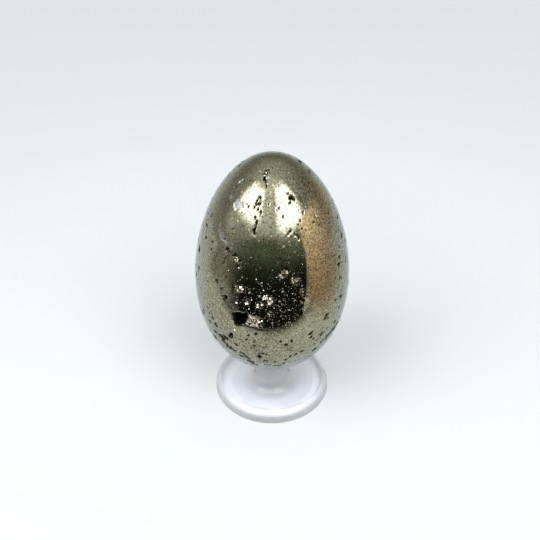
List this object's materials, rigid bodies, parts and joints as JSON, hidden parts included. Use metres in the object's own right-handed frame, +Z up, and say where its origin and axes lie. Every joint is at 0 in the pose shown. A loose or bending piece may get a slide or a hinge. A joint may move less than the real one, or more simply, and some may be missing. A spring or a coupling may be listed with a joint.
{
  "type": "decorative egg on stand",
  "caption": "Polished pyrite egg with dark pits and a crystal-lined cavity, standing point up in the cup of a small clear plastic pedestal stand that it lifts off.",
  "frame": {"origin": "centre of the stand's underside, on the axis that the stand and the egg share", "axes": "+Z up along that axis, -Y towards the viewer, where the egg shows its cavity a little to the left"},
  "size_m": [0.0402, 0.0402, 0.0706],
  "materials": {
    "polished_pyrite": "polished metallic mineral with dark pits",
    "clear_plastic": "clear plastic with a slight haze"
  },
  "bodies": {
    "stand": {"pedestal_stand": "clear_plastic"},
    "egg": {"egg": "polished_pyrite"}
  },
  "joints": [
    {"name": "egg_lift", "type": "slide", "parent": "stand", "child": "egg", "axis": [0, 0, 1], "range_m": [0, 0.06]}
  ]
}
